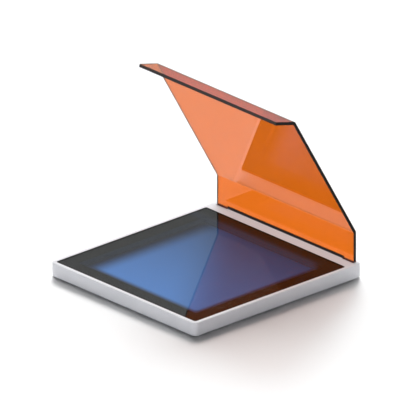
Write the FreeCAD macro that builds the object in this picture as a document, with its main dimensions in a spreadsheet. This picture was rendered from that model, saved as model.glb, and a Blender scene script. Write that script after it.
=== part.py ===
import FreeCAD, Part
import math
import os
import re

import Sketcher

# LED transilluminator: a flat edge-lit light box with an amber filter cover hinged at its rear deck.
# Millimetres. Origin on the table under the middle of the housing, +X right, +Y to the hinge, +Z up.
# The cover is modelled open, as it stands in use.

DRIVING_SIZES = [
    ("body_width", 254.5, "housing, left to right"),
    ("body_depth", 270.5, "housing, front to rear"),
    ("body_top", 19.0, "top of rim, deck and glass above the table"),
    ("body_bottom", 2.0, "lower edge of the housing above the table"),
    ("body_corner", 6.5, "upright corners of the housing"),
    ("body_edge_round", 1.2, "rounding of the upper outer edge"),
    ("body_wall", 2.3, "moulded wall"),
    ("rim_width", 5.0, "rim beside the glass, on three sides"),
    ("rear_deck", 22.5, "deck behind the glass"),
    ("deck_thickness", 3.0, "moulding under the deck"),
    ("deck_web", 2.7, "moulding behind the glass, under the deck"),
    ("glass_thickness", 3.0, "viewing glass"),
    ("glass_corner", 2.4, "corner of the glass"),
    ("glass_gap", 0.3, "joint around the glass"),
    ("glass_chamfer", 0.2, "ground edge of the glass"),
    ("bond_gap", 0.05, "bond line between glass and border"),
    ("mask_thickness", 0.5, "black bonding border under the glass"),
    ("mask_side", 19.0, "border, left and right"),
    ("mask_front", 19.0, "border, front"),
    ("mask_rear", 21.0, "border, rear"),
    ("window_corner", 0.8, "corner of the border's window"),
    ("shelf_thickness", 2.0, "shelf of the housing that carries the glass"),
    ("shelf_setback", 4.0, "shelf stays this far behind the border's edge"),
    ("frame_setback", 1.0, "chamber frame stays this far behind the border's edge"),
    ("collar_wall", 2.5, "black collar of the frame, inside the shelf's window"),
    ("cover_thickness", 2.0, "bottom cover"),
    ("cover_gap", 0.2, "joint around the bottom cover"),
    ("reflector_thickness", 0.3, "white reflector sheet"),
    ("guide_thickness", 3.0, "light guide plate"),
    ("diffuser_thickness", 0.3, "diffuser sheet"),
    ("blue_thickness", 1.0, "blue excitation filter sheet"),
    ("stack_overlap", 3.0, "sheets reach this far under the frame"),
    ("stack_gap", 0.3, "joint around the sheets"),
    ("frame_wall", 4.0, "wall of the chamber frame beside the sheets"),
    ("tab_width", 12.0, "locating tab of the chamber frame"),
    ("tab_thickness", 3.0, "height of a locating tab"),
    ("tab_spacing", 120.0, "between the two tabs of one side"),
    ("tab_gap", 0.2, "between a tab and the housing wall"),
    ("led_gap", 0.2, "between LED and light guide"),
    ("led_depth", 0.8, "LED package, along the light"),
    ("led_width", 3.5, "LED package, along the board"),
    ("led_height", 2.8, "LED package, upright"),
    ("led_pitch", 8.0, "LED to LED"),
    ("led_board_thickness", 1.6, "LED board"),
    ("led_board_height", 3.4, "LED board, upright"),
    ("led_board_end", 4.0, "board beyond its last LED"),
    ("heat_bar_thickness", 4.0, "aluminium bar behind the LED board"),
    ("heat_bar_height", 7.0, "aluminium bar, upright"),
    ("channel_gap", 0.3, "around bar and board in the frame's channel"),
    ("boss_radius", 3.5, "screw boss of the housing"),
    ("boss_inset", 8.0, "boss centre from the housing's side and front"),
    ("boss_rear_inset", 25.0, "rear boss centre from the housing's rear"),
    ("boss_middle", -10.0, "place of the middle boss along the side"),
    ("screw_radius", 1.25, "shank of the housing screws"),
    ("screw_head_radius", 2.6, "head of the housing screws"),
    ("screw_length", 9.0, "housing screw, shank and head"),
    ("pilot_spare", 0.4, "pilot hole beyond the screw's tip"),
    ("recess_width", 0.7, "cross recess"),
    ("recess_reach", 1.6, "cross recess from the screw's axis"),
    ("recess_depth", 0.8, "cross recess"),
    ("small_screw_radius", 1.0, "shank of the board screws"),
    ("small_head_radius", 1.9, "head of the board screws"),
    ("small_head_height", 1.4, "head of the board screws"),
    ("small_screw_length", 4.2, "shank of the board screws"),
    ("foot_radius", 7.0, "rubber foot"),
    ("foot_recess", 0.5, "depth of the foot's seat in the cover"),
    ("foot_inset", 24.0, "foot centre from the housing's sides"),
    ("foot_bevel", 0.8, "bevelled lower edge of a foot"),
    ("vent_length", 16.0, "cooling slot"),
    ("vent_width", 1.6, "cooling slot"),
    ("vent_pitch", 5.0, "slot to slot"),
    ("filter_inset", 7.25, "amber cover from the housing's side"),
    ("filter_thickness", 4.0, "acrylic sheet"),
    ("strip_setback", 15.35, "glass to the front face of the upright strip"),
    ("strip_height", 38.75, "deck to the first bend, at mid sheet"),
    ("panel_length", 196.1, "first to second bend, at mid sheet"),
    ("lip_length", 30.6, "second bend to the free edge"),
    ("panel_lean", 30.0, "panel from upright, in degrees"),
    ("lip_bend", 45.0, "second bend, in degrees"),
    ("bend_radius", 1.0, "inside of a line bend"),
    ("close_gap", 0.3, "closed cover above the glass"),
    ("hinge_rise", 0.3, "hinge axis above the deck"),
    ("hinge_gap", 0.3, "running gap between cover and deck or block"),
    ("stop_gap", 0.1, "open cover above the block's stop face"),
    ("shoulder_width", 19.0, "shoulder of the cover beside the hinge block"),
    ("block_fit", 0.1, "joint between block and deck slot"),
    ("pin_radius", 1.0, "steel hinge pin"),
    ("pin_clearance", 0.05, "pin in the block, radial"),
    ("pin_setback", 0.5, "pin end behind the cover's side edge"),
    ("flange_depth", 10.0, "flange of the hinge block, front to rear"),
    ("flange_thickness", 3.0, "flange of the hinge block"),
    ("hinge_screw_end", 11.0, "last hinge screw from the block's end"),
    ("hinge_head_radius", 2.3, "head of a hinge screw"),
    ("hinge_screw_inset", 7.0, "hinge screws in front of the hinge axis"),
    ("hinge_screw_bite", 2.2, "hinge screw in the deck"),
    ("port_height", 10.3, "inlet and switch above the table"),
    ("port_inset", 13.0, "inlet and switch from the housing's sides"),
    ("port_pad", 5.2, "wall at the inlet and the switch"),
    ("port_pad_width", 20.0, "thickened wall, left to right"),
    ("inlet_flange_radius", 5.4, "inlet flange"),
    ("inlet_flange_thickness", 1.2, "inlet flange"),
    ("inlet_radius", 4.0, "inlet barrel"),
    ("inlet_length", 15.0, "inlet, flange face to its rear end"),
    ("inlet_bore", 3.0, "socket radius, for a 5.5 mm plug"),
    ("inlet_bore_depth", 10.0, "socket depth"),
    ("inlet_pin_radius", 1.0, "centre contact"),
    ("inlet_pin_recess", 0.8, "centre contact behind the mouth"),
    ("inlet_nut_size", 11.0, "nut across its flats"),
    ("inlet_nut_thickness", 2.2, "nut"),
    ("lug_length", 3.0, "solder lug of the inlet"),
    ("lug_width", 1.8, "solder lug of the inlet"),
    ("lug_thickness", 0.5, "solder lug of the inlet"),
    ("fit_gap", 0.1, "around parts set in the rear wall"),
    ("switch_width", 15.0, "switch bezel, left to right"),
    ("switch_height", 10.5, "switch bezel, upright"),
    ("switch_bezel", 1.5, "switch bezel thickness"),
    ("switch_recess", 3.4, "seat of the switch behind the rear face"),
    ("switch_body_width", 13.0, "switch housing"),
    ("switch_body_height", 8.6, "switch housing"),
    ("switch_body_depth", 11.0, "switch housing behind its bezel"),
    ("switch_wall", 0.5, "wall of the switch housing"),
    ("switch_floor", 4.5, "closed rear of the switch housing"),
    ("switch_round", 0.5, "rounded front edge of the bezel"),
    ("blade_length", 4.0, "switch terminal"),
    ("blade_width", 3.2, "switch terminal"),
    ("blade_thickness", 0.6, "switch terminal"),
    ("rocker_width", 10.4, "rocker, left to right"),
    ("rocker_gap", 0.2, "rocker beside the housing's wall"),
    ("rocker_tilt", 10.0, "rocker to either side, in degrees"),
    ("rocker_pivot_depth", 2.2, "pivot behind the bezel's face"),
    ("rocker_pivot_radius", 0.9, "pivot stub"),
    ("rocker_side", 0.6, "rocker's end faces reach this far in front of the pivot"),
    ("rocker_keel", 1.5, "rocker's keel behind the pivot"),
    ("rocker_keel_width", 4.0, "rocker's keel"),
    ("board_width", 90.0, "driver board"),
    ("board_depth", 23.0, "driver board"),
    ("board_thickness", 1.6, "driver board"),
    ("board_gap", 3.5, "driver board behind the chamber frame"),
    ("standoff_height", 2.0, "under the driver board"),
    ("standoff_radius", 2.5, "under the driver board"),
    ("board_hole_inset", 3.5, "board screws from the board's edges"),
    ("choke_size", 8.0, "square inductor"),
    ("choke_height", 3.8, "square inductor"),
    ("choke_corner", 1.5, "square inductor"),
    ("can_radius", 3.15, "capacitor can"),
    ("can_height", 4.6, "capacitor with its base"),
    ("can_base", 0.6, "plastic base of the capacitor"),
    ("chip_length", 5.0, "driver chip"),
    ("chip_width", 4.0, "driver chip"),
    ("chip_height", 1.5, "driver chip"),
    ("part_spacing", 9.0, "inductor, chip and capacitor, middle to middle"),
    ("socket_length", 6.0, "lead socket"),
    ("socket_width", 5.0, "lead socket"),
    ("socket_height", 3.4, "lead socket"),
    ("socket_spacing", 6.4, "two sockets side by side"),
    ("lead_thickness", 1.6, "flat two-core lead, laid on edge"),
    ("lead_width", 3.0, "flat two-core lead, upright"),
    ("lead_bend", 5.0, "bend radius of a lead, at its middle"),
    ("lead_run", 8.0, "straight run of a lead out of its socket"),
    ("lead_lane", 4.5, "lane of a lead beside the chamber frame"),
    ("lead_clearance", 0.9, "around the lead in the frame's notch"),
]

HINGE_SCREW_COUNT = 5
VENT_COUNT = 9

doc = FreeCAD.newDocument("transilluminator")
sizes = doc.addObject("Spreadsheet::Sheet", "sizes")
for row, (alias, number, meaning) in enumerate(DRIVING_SIZES, start=1):
    sizes.set("A%d" % row, meaning)
    sizes.set("B%d" % row, str(number))
    sizes.setAlias("B%d" % row, alias)
doc.recompute()
ALIASES = {alias for alias, number, meaning in DRIVING_SIZES}

# Places that several pieces share, as formulas of the driving sizes.
GLASS_X = "(body_width/2 - rim_width)"
GLASS_FRONT = "(-body_depth/2 + rim_width)"
GLASS_REAR = "(body_depth/2 - rear_deck)"
GLASS_BOTTOM = "(body_top - glass_thickness)"
BORDER_TOP = "(%s - bond_gap)" % GLASS_BOTTOM
SHELF_TOP = "(%s - mask_thickness)" % BORDER_TOP
SHELF_BOTTOM = "(%s - shelf_thickness)" % SHELF_TOP
DECK_BOTTOM = "(body_top - deck_thickness)"
WINDOW_X = "(body_width/2 - rim_width - mask_side)"
WINDOW_FRONT = "(-body_depth/2 + rim_width + mask_front)"
WINDOW_REAR = "(body_depth/2 - rear_deck - mask_rear)"
INNER_X = "(body_width/2 - body_wall)"
INNER_Y = "(body_depth/2 - body_wall)"
COVER_TOP = "(body_bottom + cover_thickness)"
OPENING_X = "(%s + frame_setback)" % WINDOW_X
OPENING_FRONT = "(%s - frame_setback)" % WINDOW_FRONT
OPENING_REAR = "(%s + frame_setback)" % WINDOW_REAR
STACK_X = "(%s + stack_overlap)" % OPENING_X
STACK_FRONT = "(%s - stack_overlap)" % OPENING_FRONT
STACK_REAR = "(%s + stack_overlap)" % OPENING_REAR
GUIDE_BOTTOM = "(%s + reflector_thickness)" % COVER_TOP
DIFFUSER_BOTTOM = "(%s + guide_thickness)" % GUIDE_BOTTOM
BLUE_BOTTOM = "(%s + diffuser_thickness)" % DIFFUSER_BOTTOM
STACK_TOP = "(%s + blue_thickness)" % BLUE_BOTTOM
LED_FACE = "(%s - led_gap)" % STACK_FRONT
LED_BOARD_FACE = "(%s - led_depth)" % LED_FACE
LED_BOARD_MIDDLE = "(%s - led_board_thickness/2)" % LED_BOARD_FACE
HEAT_BAR_FACE = "(%s - led_board_thickness)" % LED_BOARD_FACE
LED_COUNT = int(2 * float(sizes.evalExpression(WINDOW_X)) / float(sizes.evalExpression("led_pitch")))
LED_ROW = "(led_pitch*%d/2 + led_width/2)" % (LED_COUNT - 1)
LED_BOARD_X = "(%s + led_board_end)" % LED_ROW
CHANNEL_X = "(%s + channel_gap)" % LED_BOARD_X
CHANNEL_FRONT = "(%s - heat_bar_thickness - channel_gap)" % HEAT_BAR_FACE
FRAME_X = "(%s + stack_gap + frame_wall)" % STACK_X
FRAME_FRONT = "(%s - frame_wall/2)" % CHANNEL_FRONT
FRAME_REAR = "(%s + stack_gap + frame_wall)" % STACK_REAR
HINGE_Y = "(%s + strip_setback + filter_thickness/2)" % GLASS_REAR
HINGE_Z = "(body_top + hinge_rise)"
NOTCH_TOP = "(%s + filter_thickness/2 + hinge_gap)" % HINGE_Z
FILTER_X = "(body_width/2 - filter_inset)"
BLOCK_X = "(%s - shoulder_width)" % FILTER_X
NOTCH_X = "(%s + hinge_gap)" % BLOCK_X
HINGE_SCREW_PITCH = "(2*(%s - hinge_screw_end)/%d)" % (BLOCK_X, HINGE_SCREW_COUNT - 1)
PORT_X = "(body_width/2 - port_inset)"
PAD_FACE = "(body_depth/2 - port_pad)"
BOARD_FRONT = "(%s + board_gap)" % FRAME_REAR
BOARD_BOTTOM = "(%s + standoff_height)" % COVER_TOP
BOARD_TOP = "(%s + board_thickness)" % BOARD_BOTTOM


def value(formula):
    """The number that a formula of the driving sizes gives."""
    return float(sizes.evalExpression(formula))


def bind(item, path, formula):
    """Tie a property or constraint of an object to the driving sizes."""
    def full_name(match):
        word = match.group()
        return "sizes." + word if word in ALIASES else word

    item.setExpression(path, re.sub(r"[A-Za-z_]\w*", full_name, formula))


def new_body(label):
    body = doc.addObject("PartDesign::Body", label)
    body.Label = label
    return body


def new_sketch(body, name, role, offset="0"):
    """A sketch on one of the body's own origin planes, moved along the plane's normal."""
    sketch = body.newObject("Sketcher::SketchObject", name)
    plane = [item for item in body.Origin.OriginFeatures if item.Role == role][0]
    sketch.AttachmentSupport = [(plane, "")]
    sketch.MapMode = "FlatFace"
    bind(sketch, "AttachmentOffset.Base.z", offset)
    return sketch


def fix(sketch, kind, *place, formula):
    """A dimension constraint whose number is a formula."""
    index = sketch.addConstraint(Sketcher.Constraint(kind, *place, value(formula)))
    bind(sketch, "Constraints[%d]" % index, formula)


def draw_polygon(sketch, corners):
    """Closed outline of straight lines through corners given as pairs of formulas."""
    spots = [FreeCAD.Vector(value(across), value(up), 0) for across, up in corners]
    first = len(sketch.Geometry)
    count = len(spots)
    for index in range(count):
        sketch.addGeometry(Part.LineSegment(spots[index], spots[(index + 1) % count]), False)
    for index in range(count):
        after = first + (index + 1) % count
        sketch.addConstraint(Sketcher.Constraint("Coincident", first + index, 2, after, 1))
    for index, (across, up) in enumerate(corners):
        fix(sketch, "DistanceX", -1, 1, first + index, 1, formula=across)
        fix(sketch, "DistanceY", -1, 1, first + index, 1, formula=up)


def draw_rectangle(sketch, left, low, right, high):
    draw_polygon(sketch, [(left, low), (right, low), (right, high), (left, high)])


def draw_rounded(sketch, left, low, right, high, radius):
    """Rectangle with four equal tangent corner arcs."""
    x0, y0, x1, y1 = value(left), value(low), value(right), value(high)
    r = value(radius)
    first = len(sketch.Geometry)
    ends = [
        ((x0 + r, y0), (x1 - r, y0)),
        ((x1, y0 + r), (x1, y1 - r)),
        ((x1 - r, y1), (x0 + r, y1)),
        ((x0, y1 - r), (x0, y0 + r)),
    ]
    middles = [(x1 - r, y0 + r), (x1 - r, y1 - r), (x0 + r, y1 - r), (x0 + r, y0 + r)]
    for start, end in ends:
        sketch.addGeometry(Part.LineSegment(FreeCAD.Vector(*start, 0), FreeCAD.Vector(*end, 0)), False)
    for quarter, middle in enumerate(middles):
        circle = Part.Circle(FreeCAD.Vector(*middle, 0), FreeCAD.Vector(0, 0, 1), r)
        turn = math.pi / 2 * (quarter - 1)
        sketch.addGeometry(Part.ArcOfCircle(circle, turn, turn + math.pi / 2), False)
    for side in range(4):
        arc = first + 4 + side
        sketch.addConstraint(Sketcher.Constraint("Tangent", first + side, 2, arc, 1))
        sketch.addConstraint(Sketcher.Constraint("Tangent", arc, 2, first + (side + 1) % 4, 1))
        level = "Horizontal" if side % 2 == 0 else "Vertical"
        sketch.addConstraint(Sketcher.Constraint(level, first + side))
        if side:
            sketch.addConstraint(Sketcher.Constraint("Equal", first + 4, arc))
    fix(sketch, "Radius", first + 4, formula=radius)
    fix(sketch, "DistanceY", -1, 1, first, 1, formula=low)
    fix(sketch, "DistanceX", -1, 1, first + 1, 1, formula=right)
    fix(sketch, "DistanceY", -1, 1, first + 2, 1, formula=high)
    fix(sketch, "DistanceX", -1, 1, first + 3, 1, formula=left)


def draw_circle(sketch, across, up, radius):
    spot = FreeCAD.Vector(value(across), value(up), 0)
    index = sketch.addGeometry(Part.Circle(spot, FreeCAD.Vector(0, 0, 1), value(radius)), False)
    fix(sketch, "Radius", index, formula=radius)
    fix(sketch, "DistanceX", -1, 1, index, 3, formula=across)
    fix(sketch, "DistanceY", -1, 1, index, 3, formula=up)


def pad(body, sketch, length, backwards=False, both_ways=False):
    """Add material along the sketch's normal, against it, or half to each side."""
    feature = body.newObject("PartDesign::Pad", sketch.Label + "_pad")
    feature.Profile = sketch
    feature.Reversed = backwards
    feature.Midplane = both_ways
    bind(feature, "Length", length)
    doc.recompute()
    return feature


def cut(body, sketch, length, along=False, both_ways=False):
    """Remove material against the sketch's normal, along it, or half to each side."""
    before = body.Shape.Volume
    feature = body.newObject("PartDesign::Pocket", sketch.Label + "_cut")
    feature.Profile = sketch
    feature.Reversed = along
    feature.Midplane = both_ways
    bind(feature, "Length", length)
    doc.recompute()
    if body.Shape.Volume >= before - 1e-6:
        raise ValueError("%s removed nothing" % feature.Label)
    return feature


def edges_where(shape, test):
    return ["Edge%d" % (index + 1) for index, edge in enumerate(shape.Edges) if test(edge.BoundBox)]


def round_edges(body, name, edges, radius, kind="Fillet"):
    """Round or chamfer named edges of the body's last feature."""
    feature = body.newObject("PartDesign::" + kind, name)
    feature.Base = (body.Tip if body.Tip != feature else feature.BaseFeature, edges)
    bind(feature, "Radius" if kind == "Fillet" else "Size", radius)
    doc.recompute()
    return feature


def near(a, b):
    return abs(a - b) < 1e-4


def plate(label, left, low, right, high, bottom, thickness, corner=None):
    """A flat sheet or block standing on a level plane."""
    body = new_body(label)
    sketch = new_sketch(body, label + "_outline", "XY_Plane", bottom)
    if corner:
        draw_rounded(sketch, left, low, right, high, corner)
    else:
        draw_rectangle(sketch, left, low, right, high)
    pad(body, sketch, thickness)
    return body


def keep(label, shape):
    """A sub-part whose shape comes from solids worked out above it."""
    item = doc.addObject("Part::Feature", label)
    item.Label = label
    item.Shape = shape


def group(label, solids):
    """Like pieces that share one node, each its own solid."""
    keep(label, Part.makeCompound(solids))


def upright(radius, x, y, low, high):
    return Part.makeCylinder(radius, high - low, FreeCAD.Vector(x, y, low))


def box_between(low, high):
    size = [high[axis] - low[axis] for axis in range(3)]
    return Part.makeBox(*size, FreeCAD.Vector(*low))


def boss_places():
    """Six screws hold the bottom cover: three along each side."""
    x = value("body_width/2 - boss_inset")
    front = value("-body_depth/2 + boss_inset")
    rear = value("body_depth/2 - boss_rear_inset")
    return [(side * x, y) for side in (-1, 1) for y in (front, value("boss_middle"), rear)]


def foot_places():
    x = value("body_width/2 - foot_inset")
    y = value("body_depth/2 - foot_inset")
    return {"front_left": (-x, -y), "front_right": (x, -y), "rear_left": (-x, y), "rear_right": (x, y)}


def hinge_screw_places():
    middle = (HINGE_SCREW_COUNT - 1) / 2
    y = value(HINGE_Y + " - hinge_screw_inset")
    return [((index - middle) * value(HINGE_SCREW_PITCH), y) for index in range(HINGE_SCREW_COUNT)]


def board_screw_places():
    x = value("board_width/2 - board_hole_inset")
    front = value(BOARD_FRONT + " + board_hole_inset")
    rear = value(BOARD_FRONT + " + board_depth - board_hole_inset")
    return [(side * x, y) for side in (-1, 1) for y in (front, rear)]


def closing_angle():
    """Degrees that the cover turns forward until its lip rests just above the glass.

    The corner of the lip that lands first is followed about the hinge axis: at rest it stands at a
    known distance and angle from upright, and it stops at the glass plus the closing gap.
    """
    lean = math.radians(value("panel_lean"))
    lip = math.radians(value("panel_lean + lip_bend"))
    half = value("filter_thickness/2")
    rise = value("body_top + strip_height - " + HINGE_Z)
    panel, free_end = value("panel_length"), value("lip_length")
    forward = panel * math.sin(lean) + free_end * math.sin(lip) + half * math.cos(lip)
    height = rise + panel * math.cos(lean) + free_end * math.cos(lip) - half * math.sin(lip)
    reach = math.hypot(forward, height)
    start = math.atan2(forward, height)
    landing = value("body_top + close_gap - " + HINGE_Z)
    return math.degrees(math.acos(landing / reach) - start)


def make_top_housing():
    """White moulding: rim, glass seat, deck with the hinge slot, screw bosses and thickened rear ports."""
    body = new_body("top_housing")
    outline = new_sketch(body, "housing_outline", "XY_Plane", "body_bottom")
    draw_rounded(outline, "-body_width/2", "-body_depth/2", "body_width/2", "body_depth/2", "body_corner")
    pad(body, outline, "body_top - body_bottom")
    high = value("body_top")
    rims = edges_where(body.Shape, lambda b: near(b.ZMin, high) and near(b.ZMax, high))
    round_edges(body, "housing_edge_round", rims, "body_edge_round")

    seat = new_sketch(body, "glass_seat", "XY_Plane", "body_top")
    seat_x = GLASS_X + " + glass_gap"
    draw_rounded(seat, "-(%s)" % seat_x, GLASS_FRONT + " - glass_gap", seat_x, GLASS_REAR + " + glass_gap",
                 "glass_corner + glass_gap")
    cut(body, seat, "body_top - " + SHELF_TOP)

    hollow = new_sketch(body, "hollow", "XY_Plane", "body_bottom")
    draw_rounded(hollow, "-" + INNER_X, "-" + INNER_Y, INNER_X, INNER_Y, "body_corner - body_wall")
    cut(body, hollow, SHELF_BOTTOM + " - body_bottom", along=True)

    under_deck = new_sketch(body, "under_deck", "XY_Plane", SHELF_BOTTOM)
    draw_rectangle(under_deck, "-(%s - body_wall)" % INNER_X, GLASS_REAR + " + glass_gap + deck_web",
                   INNER_X + " - body_wall", INNER_Y)
    cut(body, under_deck, "%s - %s" % (DECK_BOTTOM, SHELF_BOTTOM), along=True)

    window = new_sketch(body, "shelf_window", "XY_Plane", SHELF_TOP)
    shelf_x = "(%s + shelf_setback)" % WINDOW_X
    draw_rounded(window, "-" + shelf_x, WINDOW_FRONT + " - shelf_setback", shelf_x,
                 WINDOW_REAR + " + shelf_setback", "window_corner + shelf_setback")
    cut(body, window, "shelf_thickness")

    bosses = new_sketch(body, "bosses", "XY_Plane", COVER_TOP)
    rear = "(body_depth/2 - boss_rear_inset)"
    boss_rows = ["(-body_depth/2 + boss_inset)", "boss_middle", rear]
    boss_columns = ["-(body_width/2 - boss_inset)", "(body_width/2 - boss_inset)"]
    for column in boss_columns:
        for row_y in boss_rows:
            draw_circle(bosses, column, row_y, "boss_radius")
    pad(body, bosses, "%s - %s" % (SHELF_BOTTOM, COVER_TOP))
    pilots = new_sketch(body, "boss_pilots", "XY_Plane", COVER_TOP)
    for column in boss_columns:
        for row_y in boss_rows:
            draw_circle(pilots, column, row_y, "screw_radius")
    cut(body, pilots, "screw_length - cover_thickness + pilot_spare", along=True)

    pads = new_sketch(body, "port_pads", "XY_Plane", COVER_TOP)
    for side in ("-", ""):
        middle = "(%s%s)" % (side, PORT_X)
        draw_rectangle(pads, middle + " - port_pad_width/2", PAD_FACE, middle + " + port_pad_width/2",
                       INNER_Y + " + body_wall/2")
    pad(body, pads, "%s - %s" % (DECK_BOTTOM, COVER_TOP))

    slot = new_sketch(body, "hinge_slot", "XY_Plane", "body_top")
    half_slot = "(filter_thickness/2 + block_fit)"
    draw_rectangle(slot, "-(%s + block_fit)" % BLOCK_X, "%s - %s" % (HINGE_Y, half_slot),
                   BLOCK_X + " + block_fit", "%s + %s" % (HINGE_Y, half_slot))
    cut(body, slot, "deck_thickness")
    screws = new_sketch(body, "hinge_pilots", "XY_Plane", DECK_BOTTOM)
    for index in range(HINGE_SCREW_COUNT):
        across = "%s*%g" % (HINGE_SCREW_PITCH, index - (HINGE_SCREW_COUNT - 1) / 2)
        draw_circle(screws, across, HINGE_Y + " - hinge_screw_inset", "screw_radius")
    cut(body, screws, "hinge_screw_bite", along=True)

    cut_shoulder_grooves(body)
    cut_ports(body)
    return body


def cut_shoulder_grooves(body):
    """Round seats in the deck for the cover's two shoulders, flared to the front for the closed cover."""
    lean = "%.6f" % closing_angle()
    run = "(filter_thickness/2 + hinge_gap)"
    reach = "(2*filter_thickness)"
    start = "(%s + block_fit)" % BLOCK_X
    length = "(%s + hinge_gap - %s)" % (FILTER_X, start)
    for name, offset in (("left", "-(%s + hinge_gap)" % FILTER_X), ("right", start)):
        round_seat = new_sketch(body, name + "_seat", "YZ_Plane", offset)
        draw_circle(round_seat, HINGE_Y, HINGE_Z, run)
        cut(body, round_seat, length, along=True)
        flare = new_sketch(body, name + "_flare", "YZ_Plane", offset)
        low_y = "(%s - %s*cos(%s))" % (HINGE_Y, run, lean)
        low_z = "(%s - %s*sin(%s))" % (HINGE_Z, run, lean)
        far_y = "(%s - %s*sin(%s))" % (low_y, reach, lean)
        far_z = "(%s + %s*cos(%s))" % (low_z, reach, lean)
        draw_polygon(flare, [(HINGE_Y, HINGE_Z), (low_y, low_z), (far_y, far_z), (HINGE_Y, far_z)])
        cut(body, flare, length, along=True)


def cut_ports(body):
    """Openings in the rear wall for the power inlet, on the right, and the switch, on the left."""
    flange_seat = new_sketch(body, "inlet_seat", "XZ_Plane", "-body_depth/2")
    draw_circle(flange_seat, PORT_X, "port_height", "inlet_flange_radius + fit_gap")
    cut(body, flange_seat, "inlet_flange_thickness", along=True)
    hole = new_sketch(body, "inlet_hole", "XZ_Plane", "-body_depth/2")
    draw_circle(hole, PORT_X, "port_height", "inlet_radius + fit_gap")
    cut(body, hole, "port_pad", along=True)
    for name, width, height, depth in (
        ("switch_seat", "switch_width", "switch_height", "switch_recess"),
        ("switch_hole", "switch_body_width", "switch_body_height", "port_pad"),
    ):
        opening = new_sketch(body, name, "XZ_Plane", "-body_depth/2")
        half_w = "(%s/2 + fit_gap)" % width
        half_h = "(%s/2 + fit_gap)" % height
        draw_rectangle(opening, "-%s - %s" % (PORT_X, half_w), "port_height - " + half_h,
                       "-%s + %s" % (PORT_X, half_w), "port_height + " + half_h)
        cut(body, opening, depth, along=True)


def make_viewing_glass():
    body = plate("viewing_glass", "-" + GLASS_X, GLASS_FRONT, GLASS_X, GLASS_REAR, GLASS_BOTTOM,
                 "glass_thickness", "glass_corner")
    top = value("body_top")
    edges = edges_where(body.Shape, lambda b: near(b.ZMin, top) and near(b.ZMax, top))
    round_edges(body, "ground_edge", edges, "glass_chamfer", "Chamfer")


def make_border_mask():
    """Black bonding border: it holds the glass to the shelf and frames the light."""
    body = plate("border_mask", "-" + GLASS_X, GLASS_FRONT, GLASS_X, GLASS_REAR, SHELF_TOP,
                 "mask_thickness", "glass_corner")
    window = new_sketch(body, "border_window", "XY_Plane", BORDER_TOP)
    draw_rounded(window, "-" + WINDOW_X, WINDOW_FRONT, WINDOW_X, WINDOW_REAR, "window_corner")
    cut(body, window, "mask_thickness")


def make_chamber_frame():
    """Black frame between shelf and bottom cover: collar, seat for the sheets and an LED channel.

    Its collar stands up inside the shelf's window to the border, so the white shelf isn't seen.
    """
    body = plate("chamber_frame", "-" + FRAME_X, FRAME_FRONT, FRAME_X, FRAME_REAR, COVER_TOP,
                 "%s - %s" % (SHELF_BOTTOM, COVER_TOP), "frame_wall/2")
    collar = new_sketch(body, "collar", "XY_Plane", SHELF_BOTTOM)
    collar_x = "(%s + collar_wall)" % OPENING_X
    draw_rounded(collar, "-" + collar_x, OPENING_FRONT + " - collar_wall", collar_x,
                 OPENING_REAR + " + collar_wall", "window_corner + frame_setback + collar_wall")
    pad(body, collar, "shelf_thickness")
    opening = new_sketch(body, "frame_opening", "XY_Plane", SHELF_TOP)
    draw_rounded(opening, "-" + OPENING_X, OPENING_FRONT, OPENING_X, OPENING_REAR,
                 "window_corner + frame_setback")
    cut(body, opening, "%s - %s" % (SHELF_TOP, COVER_TOP))
    seat = new_sketch(body, "sheet_seat", "XY_Plane", COVER_TOP)
    draw_rectangle(seat, "-(%s + stack_gap)" % STACK_X, STACK_FRONT + " - stack_gap",
                   STACK_X + " + stack_gap", STACK_REAR + " + stack_gap")
    cut(body, seat, "%s - %s" % (STACK_TOP, COVER_TOP), along=True)
    channel = new_sketch(body, "led_channel", "XY_Plane", COVER_TOP)
    draw_rectangle(channel, "-" + CHANNEL_X, CHANNEL_FRONT, CHANNEL_X, STACK_FRONT + " - stack_gap/2")
    cut(body, channel, "heat_bar_height + channel_gap", along=True)
    notch = new_sketch(body, "lead_notch", "XY_Plane", COVER_TOP)
    beside = "(led_board_thickness/2 + lead_thickness/2 + lead_clearance)"
    draw_rectangle(notch, CHANNEL_X + " - channel_gap", "%s - %s" % (LED_BOARD_MIDDLE, beside),
                   FRAME_X + " + channel_gap", "%s + %s" % (LED_BOARD_MIDDLE, beside))
    cut(body, notch, "%s + lead_width/2 + lead_clearance - %s" % (BOARD_TOP, COVER_TOP), along=True)
    tabs = new_sketch(body, "locating_tabs", "XY_Plane", SHELF_BOTTOM)
    wall_x = "(%s - tab_gap)" % INNER_X
    root_x = "(%s - frame_wall/4)" % FRAME_X
    for left, right in (("-" + wall_x, "-" + root_x), (root_x, wall_x)):
        for place in ("-tab_spacing/2", "tab_spacing/2"):
            draw_rectangle(tabs, left, place + " - tab_width/2", right, place + " + tab_width/2")
    for place in ("-tab_spacing/2", "tab_spacing/2"):
        draw_rectangle(tabs, place + " - tab_width/2", "-(%s - tab_gap)" % INNER_Y, place + " + tab_width/2",
                       FRAME_FRONT + " + frame_wall/4")
    pad(body, tabs, "tab_thickness", backwards=True)


def make_light_sheets():
    """White reflector, clear light guide, diffuser and blue excitation filter, one on another."""
    for label, bottom, thickness in (
        ("reflector_sheet", COVER_TOP, "reflector_thickness"),
        ("light_guide_plate", GUIDE_BOTTOM, "guide_thickness"),
        ("diffuser_sheet", DIFFUSER_BOTTOM, "diffuser_thickness"),
        ("blue_filter_sheet", BLUE_BOTTOM, "blue_thickness"),
    ):
        plate(label, "-" + STACK_X, STACK_FRONT, STACK_X, STACK_REAR, bottom, thickness)


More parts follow.
